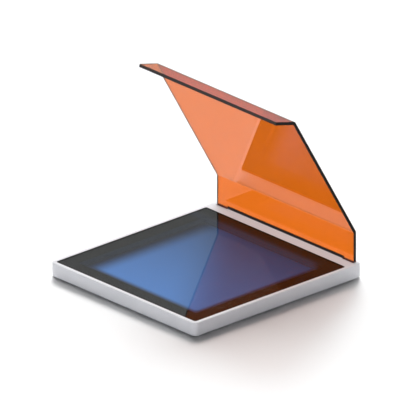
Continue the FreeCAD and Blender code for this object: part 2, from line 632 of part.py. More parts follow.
def make_led_bar():
    """The light source: LEDs on a narrow upright board that is bonded to an aluminium bar."""
    plate("led_board", "-" + LED_BOARD_X, HEAT_BAR_FACE, LED_BOARD_X, LED_BOARD_FACE, COVER_TOP,
          "led_board_height")
    plate("heat_bar", "-" + LED_BOARD_X, HEAT_BAR_FACE + " - heat_bar_thickness", LED_BOARD_X, HEAT_BAR_FACE,
          COVER_TOP, "heat_bar_height")
    back = value(LED_BOARD_FACE)
    front = value(LED_FACE)
    half = value("led_width/2")
    low = value(COVER_TOP + " + led_board_height/2 - led_height/2")
    packages = []
    for index in range(LED_COUNT):
        x = (index - (LED_COUNT - 1) / 2) * value("led_pitch")
        packages.append(box_between((x - half, back, low), (x + half, front, low + value("led_height"))))
    group("leds", packages)


def make_bottom_cover():
    """White cover let into the housing: countersunk screw holes, foot seats, cooling slots, standoffs."""
    body = plate("bottom_cover", "-(%s - cover_gap)" % INNER_X, "-(%s - cover_gap)" % INNER_Y,
                 INNER_X + " - cover_gap", INNER_Y + " - cover_gap", "body_bottom", "cover_thickness",
                 "body_corner - body_wall - cover_gap")
    standoffs = new_sketch(body, "standoffs", "XY_Plane", COVER_TOP)
    board_x = "(board_width/2 - board_hole_inset)"
    board_rows = (BOARD_FRONT + " + board_hole_inset", BOARD_FRONT + " + board_depth - board_hole_inset")
    for column in ("-" + board_x, board_x):
        for row_y in board_rows:
            draw_circle(standoffs, column, row_y, "standoff_radius")
    pad(body, standoffs, "standoff_height")
    pilots = new_sketch(body, "standoff_pilots", "XY_Plane", BOARD_BOTTOM)
    for column in ("-" + board_x, board_x):
        for row_y in board_rows:
            draw_circle(pilots, column, row_y, "small_screw_radius")
    cut(body, pilots, "small_screw_length - board_thickness")
    seats = new_sketch(body, "foot_seats", "XY_Plane", "body_bottom")
    for column in ("-(body_width/2 - foot_inset)", "(body_width/2 - foot_inset)"):
        for row_y in ("-(body_depth/2 - foot_inset)", "(body_depth/2 - foot_inset)"):
            draw_circle(seats, column, row_y, "foot_radius + fit_gap")
    cut(body, seats, "foot_recess", along=True)
    holes = new_sketch(body, "screw_holes", "XY_Plane", "body_bottom")
    for column in ("-(body_width/2 - boss_inset)", "(body_width/2 - boss_inset)"):
        for row_y in ("(-body_depth/2 + boss_inset)", "boss_middle", "(body_depth/2 - boss_rear_inset)"):
            draw_circle(holes, column, row_y, "screw_radius + fit_gap")
    cut(body, holes, "cover_thickness", along=True)
    low = value("body_bottom")
    rims = [
        "Edge%d" % (index + 1)
        for index, edge in enumerate(body.Shape.Edges)
        if hasattr(edge.Curve, "Radius")
        and near(edge.Curve.Radius, value("screw_radius + fit_gap"))
        and near(edge.BoundBox.ZMax, low)
    ]
    round_edges(body, "countersinks", rims, "screw_head_radius - screw_radius", "Chamfer")
    vents = new_sketch(body, "cooling_slots", "XY_Plane", "body_bottom")
    for index in range(VENT_COUNT):
        across = "(vent_pitch*%g)" % (index - (VENT_COUNT - 1) / 2)
        draw_rectangle(vents, across + " - vent_width/2", BOARD_FRONT + " + board_depth/2 - vent_length/2",
                       across + " + vent_width/2", BOARD_FRONT + " + board_depth/2 + vent_length/2")
    cut(body, vents, "cover_thickness", along=True)


def make_cover_screws():
    """Six countersunk screws, driven from below with a cross recess."""
    low = value("body_bottom")
    shank = value("screw_radius")
    head = value("screw_head_radius")
    top = low + value("screw_length")
    reach, half = value("recess_reach"), value("recess_width/2")
    driver = box_between((-reach, -half, low), (reach, half, low + value("recess_depth")))
    crossed = driver.copy()
    crossed.rotate(FreeCAD.Vector(0, 0, 0), FreeCAD.Vector(0, 0, 1), 90)
    cone = Part.makeCone(head, shank, head - shank, FreeCAD.Vector(0, 0, low))
    screw = cone.fuse(upright(shank, 0, 0, low + (head - shank) / 2, top)).cut(driver.fuse(crossed))
    screws = []
    for x, y in boss_places():
        one = screw.copy()
        one.translate(FreeCAD.Vector(x, y, 0))
        screws.append(one)
    group("cover_screws", screws)


def make_feet():
    """Four round rubber feet, each bonded in its seat."""
    for corner, (x, y) in foot_places().items():
        sign_x = "-" if x < 0 else ""
        sign_y = "-" if y < 0 else ""
        body = new_body("foot_" + corner)
        sketch = new_sketch(body, corner + "_disc", "XY_Plane")
        draw_circle(sketch, sign_x + "(body_width/2 - foot_inset)", sign_y + "(body_depth/2 - foot_inset)",
                    "foot_radius")
        pad(body, sketch, "body_bottom + foot_recess")
        low = edges_where(body.Shape, lambda b: near(b.ZMin, 0) and near(b.ZMax, 0))
        round_edges(body, corner + "_bevel", low, "foot_bevel", "Chamfer")


def make_amber_filter():
    """One acrylic sheet: upright strip, leaning panel, bent lip. Its two shoulders stand on the hinge pin."""
    body = new_body("amber_filter")
    profile = new_sketch(body, "sheet_profile", "YZ_Plane")
    bend_z = "(body_top + strip_height)"
    top_y = "(%s - panel_length*sin(panel_lean))" % HINGE_Y
    top_z = "(%s + panel_length*cos(panel_lean))" % bend_z
    lip = "(panel_lean + lip_bend)"
    end_y = "(%s - lip_length*sin%s)" % (top_y, lip)
    end_z = "(%s + lip_length*cos%s)" % (top_z, lip)
    low_turn = "(panel_lean/2)"
    high_turn = "(panel_lean + lip_bend/2)"
    half = "(filter_thickness/2)"
    low_out = "(%s/cos%s)" % (half, low_turn)
    high_out = "(%s/cos(lip_bend/2))" % half

    def beside(y, z, out, turn, sign):
        return ("%s %s %s*cos%s" % (y, sign, out, turn), "%s %s %s*sin%s" % (z, sign, out, turn))

    draw_polygon(profile, [
        ("%s - %s" % (HINGE_Y, half), HINGE_Z),
        ("%s + %s" % (HINGE_Y, half), HINGE_Z),
        beside(HINGE_Y, bend_z, low_out, low_turn, "+"),
        beside(top_y, top_z, high_out, high_turn, "+"),
        beside(end_y, end_z, half, lip, "+"),
        beside(end_y, end_z, half, lip, "-"),
        beside(top_y, top_z, high_out, high_turn, "-"),
        beside(HINGE_Y, bend_z, low_out, low_turn, "-"),
    ])
    pad(body, profile, "2*" + FILTER_X, both_ways=True)
    round_bends(body, [(HINGE_Y, bend_z, low_out, low_turn), (top_y, top_z, high_out, high_turn)])

    foot = new_sketch(body, "round_foot", "YZ_Plane")
    draw_circle(foot, HINGE_Y, HINGE_Z, half)
    pad(body, foot, "2*" + FILTER_X, both_ways=True)
    notch = new_sketch(body, "block_notch", "XZ_Plane", "-(%s + filter_thickness)" % HINGE_Y)
    draw_rectangle(notch, "-" + NOTCH_X, HINGE_Z + " - filter_thickness", NOTCH_X, NOTCH_TOP)
    cut(body, notch, "2*filter_thickness", along=True)
    angle = "%.6f" % closing_angle()
    relief = "((close_gap - hinge_rise + %s*sin(%s))/cos(%s) - %s - hinge_gap)" % (half, angle, angle, half)
    front, level = value("%s - %s" % (HINGE_Y, half)), value(NOTCH_TOP)
    edge = edges_where(
        body.Shape,
        lambda b: near(b.YMin, front) and near(b.YMax, front) and near(b.ZMin, level) and near(b.ZMax, level),
    )
    round_edges(body, "notch_relief", edge, relief, "Chamfer")
    bore = new_sketch(body, "pin_bore", "YZ_Plane")
    draw_circle(bore, HINGE_Y, HINGE_Z, "pin_radius")
    cut(body, bore, "2*%s + hinge_gap" % FILTER_X, both_ways=True)


def round_bends(body, bends):
    """Line bends: a small radius inside and that radius plus the sheet outside."""
    for sign, radius, name in (
        (-1, "bend_radius", "bend_inside"),
        (1, "bend_radius + filter_thickness", "bend_outside"),
    ):
        spots = []
        for y, z, out, turn in bends:
            angle = math.radians(value(turn))
            reach = sign * value(out)
            spots.append((value(y) + reach * math.cos(angle), value(z) + reach * math.sin(angle)))
        edges = edges_where(
            body.Shape,
            lambda b: near(b.YMin, b.YMax) and near(b.ZMin, b.ZMax)
            and any(near(b.YMin, y) and near(b.ZMin, z) for y, z in spots),
        )
        round_edges(body, name, edges, radius)


def make_hinge():
    """Fixed black block with its flange under the deck, the pin, and the screws that hold the block."""
    body = new_body("hinge_block")
    neck = new_sketch(body, "neck", "YZ_Plane")
    half = "(filter_thickness/2)"
    stop = "(%s - stop_gap)" % NOTCH_TOP
    draw_polygon(neck, [
        ("%s + %s" % (HINGE_Y, half), DECK_BOTTOM),
        ("%s + %s" % (HINGE_Y, half), stop),
        ("%s - %s" % (HINGE_Y, half), stop),
        ("%s - %s" % (HINGE_Y, half), DECK_BOTTOM),
        ("%s + %s - flange_depth" % (HINGE_Y, half), DECK_BOTTOM),
        ("%s + %s - flange_depth" % (HINGE_Y, half), DECK_BOTTOM + " - flange_thickness"),
        ("%s + %s" % (HINGE_Y, half), DECK_BOTTOM + " - flange_thickness"),
    ])
    pad(body, neck, "2*" + BLOCK_X, both_ways=True)
    front = value("%s - %s" % (HINGE_Y, half))
    top = value(stop)
    nose = edges_where(
        body.Shape,
        lambda b: near(b.YMin, front) and near(b.YMax, front) and near(b.ZMin, top),
    )
    round_edges(body, "nose_round", nose, "filter_thickness/2")
    bore = new_sketch(body, "block_bore", "YZ_Plane")
    draw_circle(bore, HINGE_Y, HINGE_Z, "pin_radius + pin_clearance")
    cut(body, bore, "2*%s + hinge_gap" % BLOCK_X, both_ways=True)
    holes = new_sketch(body, "flange_holes", "XY_Plane", DECK_BOTTOM)
    for index in range(HINGE_SCREW_COUNT):
        across = "%s*%g" % (HINGE_SCREW_PITCH, index - (HINGE_SCREW_COUNT - 1) / 2)
        draw_circle(holes, across, HINGE_Y + " - hinge_screw_inset", "screw_radius + fit_gap")
    cut(body, holes, "flange_thickness")

    pin_body = new_body("hinge_pin")
    pin = new_sketch(pin_body, "pin_section", "YZ_Plane")
    draw_circle(pin, HINGE_Y, HINGE_Z, "pin_radius")
    pad(pin_body, pin, "2*%s - 2*pin_setback" % FILTER_X, both_ways=True)

    under = value(DECK_BOTTOM + " - flange_thickness")
    top = value(DECK_BOTTOM + " + hinge_screw_bite")
    screws = []
    for x, y in hinge_screw_places():
        low = under - value("small_head_height")
        shank = upright(value("screw_radius"), x, y, low, top)
        head = upright(value("hinge_head_radius"), x, y, low, under)
        screws.append(head.fuse(shank))
    group("hinge_screws", screws)


def make_power_inlet():
    """Round panel inlet for a 5.5 mm barrel plug: body, centre contact, nut and two solder lugs."""
    x = value(PORT_X)
    z = value("port_height")
    rear = value("body_depth/2")
    outward = FreeCAD.Vector(0, -1, 0)

    def barrel(radius, start, length):
        return Part.makeCylinder(radius, length, FreeCAD.Vector(x, rear - start, z), outward)

    length = value("inlet_length")
    bore = value("inlet_bore_depth")
    shell = barrel(value("inlet_flange_radius"), 0, value("inlet_flange_thickness"))
    shell = shell.fuse(barrel(value("inlet_radius"), 0, length))
    shell = shell.cut(barrel(value("inlet_bore"), 0, bore))
    pin_radius = value("inlet_pin_radius")
    keep("dc_inlet", shell.cut(barrel(pin_radius, bore, length - bore)))
    recess = value("inlet_pin_recess")
    pin = barrel(pin_radius, recess, length - recess)
    tip = [edge for edge in pin.Edges if near(edge.BoundBox.YMin, edge.BoundBox.YMax)]
    tip = [edge for edge in tip if near(edge.BoundBox.YMax, rear - recess)]
    keep("inlet_centre_pin", pin.makeChamfer(pin_radius / 2, tip))

    nut_face = value("port_pad")
    across = value("inlet_nut_size") / 2 / math.cos(math.pi / 6)
    corners = []
    for step in range(7):
        turn = math.pi / 3 * step
        out, up = across * math.cos(turn), across * math.sin(turn)
        corners.append(FreeCAD.Vector(x + out, rear - nut_face, z + up))
    hexagon = Part.Face(Part.makePolygon(corners))
    nut = hexagon.extrude(outward * value("inlet_nut_thickness"))
    keep("inlet_nut", nut.cut(barrel(value("inlet_radius"), 0, length)))

    lug_start = rear - length
    lug_end = lug_start - value("lug_length")
    half_w, half_t = value("lug_width/2"), value("lug_thickness/2")
    middles = [x + side * (value("inlet_radius") - 2 * half_w) for side in (-1, 1)]
    group("inlet_lugs", [
        box_between((middle - half_w, lug_end, z - half_t), (middle + half_w, lug_start, z + half_t))
        for middle in middles
    ])


def make_power_switch():
    """Small snap-in rocker switch in a recess of the rear wall, standing in its ON position."""
    x = -value(PORT_X)
    z = value("port_height")
    seat = value("body_depth/2 - switch_recess")
    face = seat + value("switch_bezel")
    half_w, half_h = value("switch_body_width/2"), value("switch_body_height/2")
    wall = value("switch_wall")
    back = seat - value("switch_body_depth")
    bezel = box_between((x - value("switch_width/2"), seat, z - value("switch_height/2")),
                        (x + value("switch_width/2"), face, z + value("switch_height/2")))
    rounds = [edge for edge in bezel.Edges if near(edge.BoundBox.YMin, face)]
    bezel = bezel.makeFillet(value("switch_round"), rounds)
    housing = box_between((x - half_w, back, z - half_h), (x + half_w, seat, z + half_h))
    cavity = box_between((x - half_w + wall, back + value("switch_floor"), z - half_h + wall),
                         (x + half_w - wall, face, z + half_h - wall))
    pivot_y = face - value("rocker_pivot_depth")
    pivot_radius = value("rocker_pivot_radius")
    pivot_hole = upright(pivot_radius + value("pin_clearance"), x, pivot_y, z - half_h, z + half_h)
    keep("switch_body", bezel.fuse(housing).cut(cavity).cut(pivot_hole))

    reach = value("rocker_width/2")
    depth = value("rocker_pivot_depth")
    dish = reach * math.tan(math.radians(value("rocker_tilt")))
    low_side, keel, keel_half = value("rocker_side"), value("rocker_keel"), value("rocker_keel_width/2")
    outline = [
        (-reach, depth + dish), (0, depth), (reach, depth + dish), (reach, low_side),
        (keel_half, -keel), (-keel_half, -keel), (-reach, low_side),
    ]
    half_rocker = half_h - wall - value("rocker_gap")
    corners = [FreeCAD.Vector(x + across, pivot_y + out, z - half_rocker) for across, out in outline]
    cap = Part.Face(Part.makePolygon(corners + corners[:1])).extrude(FreeCAD.Vector(0, 0, 2 * half_rocker))
    stub_half = half_h - value("fit_gap")
    rocker = cap.fuse(upright(pivot_radius, x, pivot_y, z - stub_half, z + stub_half))
    rocker.rotate(FreeCAD.Vector(x, pivot_y, z), FreeCAD.Vector(0, 0, 1), value("rocker_tilt"))
    keep("switch_rocker", rocker)

    end = back - value("blade_length")
    blade_half_w, blade_half_t = value("blade_width/2"), value("blade_thickness/2")
    group("switch_blades", [
        box_between((middle - blade_half_t, end, z - blade_half_w),
                    (middle + blade_half_t, back, z + blade_half_w))
        for middle in (x - half_w / 2, x + half_w / 2)
    ])


def make_driver_board():
    """Constant-current driver behind the chamber frame, on four standoffs of the bottom cover."""
    body = plate("driver_board", "-board_width/2", BOARD_FRONT, "board_width/2",
                 BOARD_FRONT + " + board_depth", BOARD_BOTTOM, "board_thickness")
    holes = new_sketch(body, "board_holes", "XY_Plane", BOARD_TOP)
    board_x = "(board_width/2 - board_hole_inset)"
    for column in ("-" + board_x, board_x):
        for row_y in (BOARD_FRONT + " + board_hole_inset", BOARD_FRONT + " + board_depth - board_hole_inset"):
            draw_circle(holes, column, row_y, "small_screw_radius + fit_gap")
    cut(body, holes, "board_thickness")

    top = value(BOARD_TOP)
    middle_y = value(BOARD_FRONT + " + board_depth/2")
    spacing = value("part_spacing")
    half = value("choke_size/2")
    choke = box_between((-spacing - half, middle_y - half, top),
                        (-spacing + half, middle_y + half, top + value("choke_height")))
    uprights = [edge for edge in choke.Edges if near(edge.BoundBox.ZLength, value("choke_height"))]
    keep("driver_inductor", choke.makeFillet(value("choke_corner"), uprights))
    can = value("can_radius")
    base_top = top + value("can_base")
    base = box_between((spacing - can, middle_y - can, top), (spacing + can, middle_y + can, base_top))
    keep("driver_capacitor", base.fuse(upright(can, spacing, middle_y, base_top, top + value("can_height"))))
    half_l, half_w = value("chip_length/2"), value("chip_width/2")
    keep("driver_chip", box_between((-half_l, middle_y - half_w, top),
                                    (half_l, middle_y + half_w, top + value("chip_height"))))

    half = value("socket_width/2")
    for label, side, y in lead_sockets():
        edge = side * value("board_width/2")
        inner = edge - side * value("socket_length")
        keep(label, box_between((min(edge, inner), y - half, top),
                                (max(edge, inner), y + half, top + value("socket_height"))))

    shank, head = value("small_screw_radius"), value("small_head_radius")
    low = top - value("small_screw_length")
    head_top = top + value("small_head_height")
    group("board_screws", [
        upright(shank, x, y, low, head_top).fuse(upright(head, x, y, top, head_top))
        for x, y in board_screw_places()
    ])


def lead_sockets():
    """Board sockets: label, which end of the board, and place along it."""
    middle = value(BOARD_FRONT + " + board_depth/2")
    half = value("socket_spacing/2")
    return [
        ("inlet_lead_socket", 1, middle + half),
        ("led_lead_socket", 1, middle - half),
        ("switch_lead_socket", -1, middle),
    ]


def lead(label, places, level):
    """A flat lead on edge at one level, along straight runs joined by tangent arcs."""
    spots = [FreeCAD.Vector(x, y, level) for x, y in places]
    edges = []
    start = spots[0]
    for before, corner, after in zip(spots, spots[1:], spots[2:]):
        arriving = (corner - before).normalize()
        leaving = (after - corner).normalize()
        turn = arriving.getAngle(leaving)
        shorter = min((corner - before).Length, (after - corner).Length)
        radius = min(value("lead_bend"), 0.45 * shorter / math.tan(turn / 2))
        setback = radius * math.tan(turn / 2)
        entry = corner - arriving * setback
        leave = corner + leaving * setback
        towards = (leaving - arriving).normalize()
        centre = corner + towards * (radius / math.cos(turn / 2))
        edges.append(Part.LineSegment(start, entry).toShape())
        edges.append(Part.Arc(entry, centre - towards * radius, leave).toShape())
        start = leave
    edges.append(Part.LineSegment(start, spots[-1]).toShape())
    route = Part.Wire(edges)
    along = (spots[1] - spots[0]).normalize()
    across = along.cross(FreeCAD.Vector(0, 0, 1)) * value("lead_thickness/2")
    up = FreeCAD.Vector(0, 0, value("lead_width/2"))
    corners = [spots[0] + across + up, spots[0] - across + up, spots[0] - across - up, spots[0] + across - up]
    section = Part.makePolygon(corners + corners[:1])
    strip = route.makePipeShell([section], True, False)
    expected = value("lead_thickness*lead_width") * route.Length
    if abs(strip.Volume - expected) > 0.02 * expected:
        raise ValueError("%s has volume %g, expected %g" % (label, strip.Volume, expected))
    keep(label, strip)


def make_leads():
    """Internal leads, laid in the space between chamber frame and housing."""
    sockets = {label: (side, y) for label, side, y in lead_sockets()}
    edge = value("board_width/2")
    run = value("lead_run")
    near_lane = value(FRAME_REAR + " + lead_lane")
    far_lane = value(FRAME_REAR + " + 2*lead_lane")
    port_x = value(PORT_X)
    level = (value("port_height") + value(BOARD_TOP + " + socket_height/2")) / 2
    lug_end = value("body_depth/2 - inlet_length - lug_length")
    blade_end = value("body_depth/2 - switch_recess - switch_body_depth - blade_length")
    for label, start_y in (("inlet_lead", lug_end), ("switch_lead", blade_end)):
        side, y = sockets[label + "_socket"]
        lead(label, [
            (side * port_x, start_y), (side * port_x, far_lane), (side * (edge + 3 * run), far_lane),
            (side * (edge + run), y), (side * edge, y),
        ], level)
    side, y = sockets["led_lead_socket"]
    lane_x = value(FRAME_X + " + lead_lane/2")
    entry_y = value(LED_BOARD_MIDDLE)
    lead("led_lead", [
        (edge, y), (edge + run, y), (edge + 5 * run / 2, near_lane), (lane_x, near_lane),
        (lane_x, entry_y), (value(LED_BOARD_X), entry_y),
    ], value(BOARD_TOP))


def check_and_write():
    """Stop on any failed object, then write each sub-part to its own file."""
    doc.recompute()
    for item in doc.Objects:
        if "Invalid" in item.State or "Error" in item.State:
            raise ValueError("%s failed: %s" % (item.Label, item.State))
    os.makedirs("parts", exist_ok=True)
    kept = [item for item in doc.Objects if item.TypeId in ("PartDesign::Body", "Part::Feature")]
    kept = [item for item in kept if item.getParentGeoFeatureGroup() is None]
    for item in kept:
        shape = item.Shape
        if shape.isNull() or not shape.isValid() or not shape.Solids:
            raise ValueError("%s has no valid solid" % item.Label)
    for item in kept:
        item.Shape.exportStep(os.path.join("parts", item.Label + ".step"))
        print(item.Label, len(item.Shape.Solids), "solid(s),", round(item.Shape.Volume), "mm3")


make_top_housing()
make_viewing_glass()
make_border_mask()
make_chamber_frame()
make_light_sheets()
make_led_bar()
make_bottom_cover()
make_cover_screws()
make_feet()
make_amber_filter()
make_hinge()
make_power_inlet()
make_power_switch()
make_driver_board()
make_leads()
print("closing angle", round(closing_angle(), 3))
check_and_write()
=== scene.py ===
# %% [markdown]
# A flat light box with an amber cover
#
# The object is a bench instrument for looking at stained gels. A white moulded housing carries a flush
# sheet of glass; under the glass lies a blue panel that is lit from its front edge, and an amber acrylic
# cover stands open behind it on a hinge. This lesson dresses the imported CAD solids: it gives each one the
# finish of the real material. It adds no pieces, because the solids hold all that the photograph shows.

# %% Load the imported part
import math

import bmesh
import bpy
from mathutils import Matrix, Vector


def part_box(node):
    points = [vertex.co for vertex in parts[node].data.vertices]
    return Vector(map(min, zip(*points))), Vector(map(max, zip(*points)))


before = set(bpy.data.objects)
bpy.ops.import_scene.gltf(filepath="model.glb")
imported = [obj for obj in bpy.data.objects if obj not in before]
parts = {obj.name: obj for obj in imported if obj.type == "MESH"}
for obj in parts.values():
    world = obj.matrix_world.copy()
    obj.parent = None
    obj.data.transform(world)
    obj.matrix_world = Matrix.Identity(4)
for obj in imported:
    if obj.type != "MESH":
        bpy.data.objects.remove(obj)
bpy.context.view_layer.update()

MM = 0.001

# %% [markdown]
# The camera
#
# The photograph has no vanishing points: lines that are parallel on the object stay parallel in it. So it is
# an orthographic view, and two angles, a scale and a centre describe it. The angles come from the slopes of
# two sets of parallel edges, which meet at right angles on the object. An orthographic camera doesn't care
# how far away it stands.

# %% Set up the photograph's view
PHOTO_WIDTH = 414
PIXELS_PER_MM = 0.84
VIEW_TURN = math.radians(47.38)
VIEW_RISE = math.radians(23.26)
AIM_ACROSS = 1.04 * MM
AIM_UP = 91.59 * MM
CAMERA_DISTANCE = 2.0

across = Vector((math.cos(VIEW_TURN), math.sin(VIEW_TURN), 0))
towards_camera = Vector((math.sin(VIEW_TURN) * math.cos(VIEW_RISE),
                         -math.cos(VIEW_TURN) * math.cos(VIEW_RISE), math.sin(VIEW_RISE)))
upwards = towards_camera.cross(across)

camera_data = bpy.data.cameras.new("photo_view")
camera_data.type = "ORTHO"
camera_data.ortho_scale = PHOTO_WIDTH / PIXELS_PER_MM * MM
camera = bpy.data.objects.new("photo_view", camera_data)
bpy.context.scene.collection.objects.link(camera)
turned = Matrix((across, upwards, towards_camera)).transposed().to_4x4()
place = across * AIM_ACROSS + upwards * AIM_UP + towards_camera * CAMERA_DISTANCE
camera.matrix_world = Matrix.Translation(place) @ turned
bpy.context.scene.camera = camera
bpy.context.scene.view_settings.view_transform = "Standard"
print("the picture is", round(camera_data.ortho_scale / MM, 1), "mm wide")

# %% [markdown]
# Two helpers for materials
#
# Colours are written as the sRGB hex values that one reads off a swatch, and turned to the linear numbers
# that Blender works with. Every node of a material is added by one small function: it sets the node's own
# settings, and for each input it either writes a value or makes a link.

# %% Helpers for colours and nodes
def linear(swatch, alpha=1.0):
    """Linear RGBA from an sRGB hex swatch such as 'C8C8CD', by the formula of the sRGB standard."""
    channels = [int(swatch[start:start + 2], 16) / 255 for start in (0, 2, 4)]
    return tuple(c / 12.92 if c <= 0.04045 else ((c + 0.055) / 1.055) ** 2.4 for c in channels) + (alpha,)


def add(tree, kind, inputs=None, **settings):
    """Add a node. An input given as another node's output is linked, any other value is written."""
    node = tree.nodes.new(kind)
    for name, setting in settings.items():
        setattr(node, name, setting)
    for socket, source in (inputs or {}).items():
        if isinstance(source, bpy.types.NodeSocket):
            tree.links.new(source, node.inputs[socket])
        else:
            node.inputs[socket].default_value = source
    return node


def new_material(name):
    material = bpy.data.materials.new(name)
    material.use_nodes = True
    material.node_tree.nodes.clear()
    return material, material.node_tree


def dress(material, *names):
    """Put one material on CAD parts, in every slot that they have."""
    for name in names:
        part = parts[name]
        if not part.material_slots:
            part.data.materials.append(material)
        for slot in part.material_slots:
            slot.material = material
    print(material.name, "on", ", ".join(names))


# %% [markdown]
# White ABS
#
# The housing and the bottom cover are injection moulded ABS. The mould is spark eroded, which leaves a fine
# satin grain: it spreads the highlight and keeps fingerprints from showing. The real grain is about 0.1 mm,
# too fine for this picture, so it is drawn at 0.6 mm and kept shallow. A second, much larger and fainter
# cloud stands for the slight unevenness that every moulded white has.

# %% White ABS, satin moulded
GRAIN_SIZE = 0.6 * MM
GRAIN_HEIGHT = 0.03 * MM
GRAIN_DETAIL = 1.0
CLOUD_SIZE = 45 * MM
CLOUD_DETAIL = 2.0


def satin_moulding(name, swatch, shade_swatch, roughness, ior, grain_strength):
    """A moulded plastic: two near shades in large clouds, and a fine grain in the normal."""
    material, tree = new_material(name)
    spot = add(tree, "ShaderNodeTexCoord").outputs["Object"]
    clouds = add(tree, "ShaderNodeTexNoise", {"Vector": spot, "Scale": 1 / CLOUD_SIZE,
                                              "Detail": CLOUD_DETAIL})
    colour = add(tree, "ShaderNodeMix", {"Factor": clouds.outputs["Fac"], "A": linear(swatch),
                                         "B": linear(shade_swatch)}, data_type="RGBA")
    grain = add(tree, "ShaderNodeTexNoise", {"Vector": spot, "Scale": 1 / GRAIN_SIZE,
                                             "Detail": GRAIN_DETAIL})
    bump = add(tree, "ShaderNodeBump", {"Height": grain.outputs["Fac"], "Strength": grain_strength,
                                        "Distance": GRAIN_HEIGHT})
    surface = add(tree, "ShaderNodeBsdfPrincipled", {
        "Base Color": colour.outputs["Result"], "Roughness": roughness, "IOR": ior,
        "Normal": bump.outputs["Normal"],
    })
    add(tree, "ShaderNodeOutputMaterial", {"Surface": surface.outputs["BSDF"]})
    return material


white_abs = satin_moulding("white_abs_satin", "E7E7EA", "E2E2E6",
                           roughness=0.42, ior=1.53, grain_strength=0.5)
dress(white_abs, "top_housing", "bottom_cover")

# %% [markdown]
# Black mouldings
#
# The hinge block, the switch, the inlet and the housings of the driver's parts are black ABS or nylon from
# the same kind of textured mould. A real black plastic is never zero: it returns a few percent of the light,
# and most of what one sees of it is its soft highlight.

# %% Black ABS, satin moulded
black_abs = satin_moulding("black_abs_satin", "1B1B1D", "17171A",
                           roughness=0.38, ior=1.53, grain_strength=0.6)
dress(black_abs, "hinge_block", "dc_inlet", "switch_body", "switch_rocker", "driver_inductor", "driver_chip")

# %% [markdown]
# Viewing glass
#
# A polished sheet of float glass, 3 mm thick. Seen at a flat angle it mirrors about an eighth of what stands
# behind it, which is why the black border under it looks grey and carries the cover's reflection. The glass
# is a real slab with a trace of green from its iron. Lamplight goes straight through it, because refracted
# lamplight would only add noise under it. The ground edges of the sheet sit in black sealant, so they are
# given a dark finish of their own. A sheet's edges are found by the direction that its surface faces.

# %% Float glass
GLASS_IOR = 1.5
EDGE_LIMIT = 0.9
EDGE_ROUGHNESS = 0.5
EDGE_SHINE = 0.2


def clear_slab(name, ior, colour, shadow_tint, axis, edge_test, edge_swatch):
    """A solid transparent sheet: it refracts what the eye sees and lets the lamps shine through.

    Its cut edges are dark. They are told from its faces by how far their normal lies along one axis: less
    than the limit round the rim of a flat sheet, more than it on the two ends of a bent one.
    """
    material, tree = new_material(name)
    solid = add(tree, "ShaderNodeBsdfPrincipled", {
        "Base Color": colour, "Roughness": 0.0, "IOR": ior, "Transmission Weight": 1.0,
    })
    open_way = add(tree, "ShaderNodeBsdfTransparent", {"Color": shadow_tint})
    rays = add(tree, "ShaderNodeLightPath")
    either = add(tree, "ShaderNodeMixShader", {
        0: rays.outputs["Is Shadow Ray"], 1: solid.outputs["BSDF"], 2: open_way.outputs["BSDF"],
    })
    facing = add(tree, "ShaderNodeNewGeometry").outputs["True Normal"]
    part_along = add(tree, "ShaderNodeSeparateXYZ", {"Vector": facing}).outputs[axis]
    part_along = add(tree, "ShaderNodeMath", {0: part_along}, operation="ABSOLUTE").outputs[0]
    is_edge = add(tree, "ShaderNodeMath", {0: part_along, 1: EDGE_LIMIT}, operation=edge_test).outputs[0]
    dark_edge = add(tree, "ShaderNodeBsdfPrincipled", {
        "Base Color": linear(edge_swatch), "Roughness": EDGE_ROUGHNESS, "Specular IOR Level": EDGE_SHINE,
    })
    either = add(tree, "ShaderNodeMixShader", {
        0: is_edge, 1: either.outputs["Shader"], 2: dark_edge.outputs["BSDF"],
    })
    add(tree, "ShaderNodeOutputMaterial", {"Surface": either.outputs["Shader"]})
    return material


float_glass = clear_slab("float_glass", GLASS_IOR, linear("F7FCFA"), linear("F4F8F6"),
                         "Z", "LESS_THAN", "0E0E10")
dress(float_glass, "viewing_glass")

# %% [markdown]
# Amber acrylic
#
# The cover is one sheet of cast acrylic, 4 mm thick, dyed through its depth and bent along two heated lines.
# The dye takes nearly all blue and most of the green out of light that crosses the sheet, so the face is
# orange, while light that runs along inside the sheet loses everything: the cut edges look nearly black.
# A transparent slab tints the light at both of its surfaces, so the swatch is lighter than the sheet looks.
# Its shadow is greyer than its dye, because the white room also lights what lies in that shadow.

# %% Amber cast acrylic
AMBER = "E47018"
ACRYLIC_IOR = 1.49
amber_acrylic = clear_slab("amber_cast_acrylic", ACRYLIC_IOR, linear(AMBER), linear("E8E0DE"),
                           "X", "GREATER_THAN", "0C0806")
dress(amber_acrylic, "amber_filter")

# %% [markdown]
# The lit blue panel
#
# Blue light enters the guide plate along the front edge and leaks out upwards through the diffuser and the
# blue sheet. The sheet is given a glow whose strength is worked out from its own coordinates, so it stays in
# place from every side. It is full near the front. Painted shade weakens it on its way to the back and
# towards
# the left end: it stands for the soft shadow that the walls of the recess and the amber cover cast on the
# panel. Towards the rear right corner a painted shadow of the amber cover dims it further along a slanting
# line. Close to the front and right edges of the sheet the glow fades out.

# %% Blue panel, lit from its front edge
panel_low, panel_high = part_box("blue_filter_sheet")
GLOW = "4A80C9"
# Painted shade: the glow loses part of its strength evenly on the way to the back, and part with the square
# of the way.
REAR_SHADE_FROM = panel_low.y + 20 * MM
REAR_SHADE_RUN = 170 * MM
REAR_SHADE_EVEN = 0.425
REAR_SHADE_SQUARED = 0.19
# Painted shade towards the left end, and a fade of the glow close to the right and front edges of the sheet.
LEFT_DARK = panel_low.x + 5 * MM
LEFT_FULL = panel_low.x + 36 * MM
RIGHT_FULL = panel_high.x - 25 * MM
RIGHT_DARK = panel_high.x - 17 * MM
FRONT_DARK = panel_low.y + 14.5 * MM
FRONT_FULL = panel_low.y + 25 * MM
# The painted shadow of the cover begins and ends on lines that run aslant: for each mm to the rear, so far to
# the left.
SHADE_SLANT = 0.8
SHADE_START = -49 * MM
SHADE_END = 46 * MM
SHADE_LEVEL = 0.52


